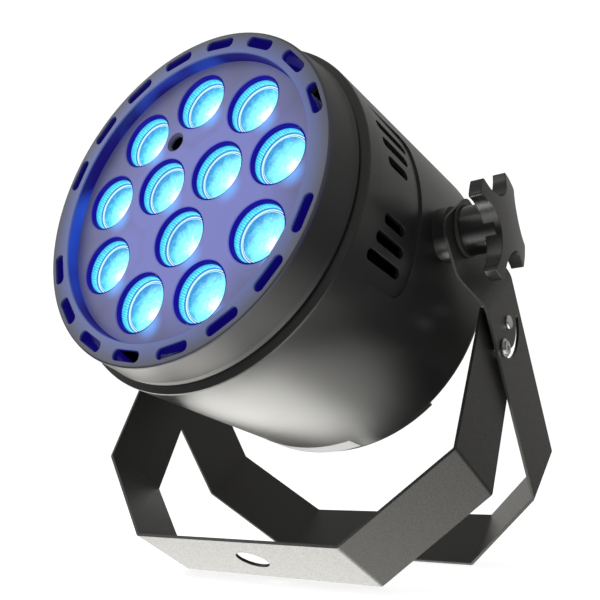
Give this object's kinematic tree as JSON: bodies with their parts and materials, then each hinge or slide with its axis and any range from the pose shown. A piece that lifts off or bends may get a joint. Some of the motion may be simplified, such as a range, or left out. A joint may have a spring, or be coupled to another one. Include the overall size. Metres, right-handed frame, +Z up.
{
  "type": "par can light",
  "caption": "LED par can stage light: drum-shaped head with round lenses behind a slotted bezel, tilting on a folding yoke stand with hand knobs.",
  "frame": {"origin": "floor level, at the centre of the object's footprint box", "axes": "+Z up, the lamp faces -Y (tilted up 9.66 degrees), X is the tilt axis"},
  "size_m": [0.2064, 0.1862, 0.2172],
  "materials": {
    "housing_plastic": "satin black moulded ABS with fine texture",
    "plate_plastic": "matte dark grey moulded plastic",
    "holder_plastic": "clear polycarbonate lens holder, fluted inside",
    "lens_acrylic": "clear acrylic with pebbled face",
    "led_emitter": "LED package",
    "board_white": "white solder mask",
    "board_green": "green solder mask",
    "dark_acrylic": "dark tinted acrylic",
    "aluminium": "black anodised",
    "black_screw": "black oxide",
    "zinc_steel": "bright zinc",
    "ferrite": "dull dark grey",
    "capacitor_sleeve": "dark blue sleeve",
    "chip_black": "matte black epoxy",
    "display_grey": "matte grey",
    "button_plastic": "soft matte dark grey",
    "socket_plastic": "black nylon",
    "brass": "bright",
    "rubber": "matte black rubber",
    "nylon": "black nylon",
    "label": "silver-white film, blank",
    "yoke_paint": "black powder coat, fine texture",
    "knob_plastic": "glossy black nylon"
  },
  "bodies": {
    "main_yoke": {"main_yoke": "yoke_paint", "hinge_rivets": "zinc_steel", "hinge_spacers": "nylon"},
    "front_bracket": {"front_bracket": "yoke_paint", "lock_screws": "zinc_steel", "lock_washers": "zinc_steel", "lock_nuts": "zinc_steel"},
    "head": {"front_bezel": "housing_plastic", "body_shell": "housing_plastic", "rear_cover": "housing_plastic", "lens_plate": "plate_plastic", "lens_holders": "holder_plastic", "lenses": "lens_acrylic", "leds": "led_emitter", "led_board": "board_white", "ir_receiver": "dark_acrylic", "heat_sink": "aluminium", "led_board_screws": "black_screw", "heat_sink_screws": "zinc_steel", "bezel_screws": "zinc_steel", "power_supply_board": "board_green", "driver_board": "board_green", "board_screws": "zinc_steel", "transformer": "ferrite", "capacitors": "capacitor_sleeve", "driver_inductors": "ferrite", "driver_chips": "chip_black", "rear_cover_screws": "black_screw", "display_window": "dark_acrylic", "display_module": "display_grey", "control_board": "board_green", "control_board_screws": "zinc_steel", "tact_switches": "chip_black", "socket_plate": "yoke_paint", "socket_plate_screws": "black_screw", "dmx_socket_screws": "black_screw", "dmx_in_socket": "socket_plastic", "dmx_out_socket": "socket_plastic", "dmx_in_pins": "brass", "power_inlet": "socket_plastic", "power_inlet_pins": "brass", "fuse_holder": "socket_plastic", "safety_eye": "zinc_steel", "safety_eye_screws": "black_screw", "tilt_inserts": "brass", "friction_washers": "rubber", "rating_label": "label"},
    "knob_left": {"knob_left": "knob_plastic", "knob_stud_left": "zinc_steel", "knob_washer_left": "rubber"},
    "knob_right": {"knob_right": "knob_plastic", "knob_stud_right": "zinc_steel", "knob_washer_right": "rubber"},
    "button_menu": {"button_menu": "button_plastic"},
    "button_down": {"button_down": "button_plastic"},
    "button_up": {"button_up": "button_plastic"},
    "button_enter": {"button_enter": "button_plastic"}
  },
  "joints": [
    {"name": "head_tilt", "type": "hinge", "parent": "main_yoke", "child": "head", "pos_m": [0, -0.00698, 0.13375], "axis": [1, 0, 0], "range_deg": [-80, 100]},
    {"name": "front_bracket_fold", "type": "hinge", "parent": "main_yoke", "child": "front_bracket", "pos_m": [0, 0.01613, 0.10036], "axis": [1, 0, 0], "range_deg": [0, 130]},
    {"name": "knob_left_turn", "type": "hinge", "parent": "main_yoke", "child": "knob_left", "pos_m": [-0.095, -0.00698, 0.13375], "axis": [1, 0, 0], "continuous": true},
    {"name": "knob_right_turn", "type": "hinge", "parent": "main_yoke", "child": "knob_right", "pos_m": [0.095, -0.00698, 0.13375], "axis": [1, 0, 0], "continuous": true},
    {"name": "button_menu_press", "type": "slide", "parent": "head", "child": "button_menu", "axis": [0, -0.9858, 0.1678], "range_m": [0, 0.0008], "stiffness_N_per_m": 900},
    {"name": "button_down_press", "type": "slide", "parent": "head", "child": "button_down", "axis": [0, -0.9858, 0.1678], "range_m": [0, 0.0008], "stiffness_N_per_m": 900},
    {"name": "button_up_press", "type": "slide", "parent": "head", "child": "button_up", "axis": [0, -0.9858, 0.1678], "range_m": [0, 0.0008], "stiffness_N_per_m": 900},
    {"name": "button_enter_press", "type": "slide", "parent": "head", "child": "button_enter", "axis": [0, -0.9858, 0.1678], "range_m": [0, 0.0008], "stiffness_N_per_m": 900}
  ]
}
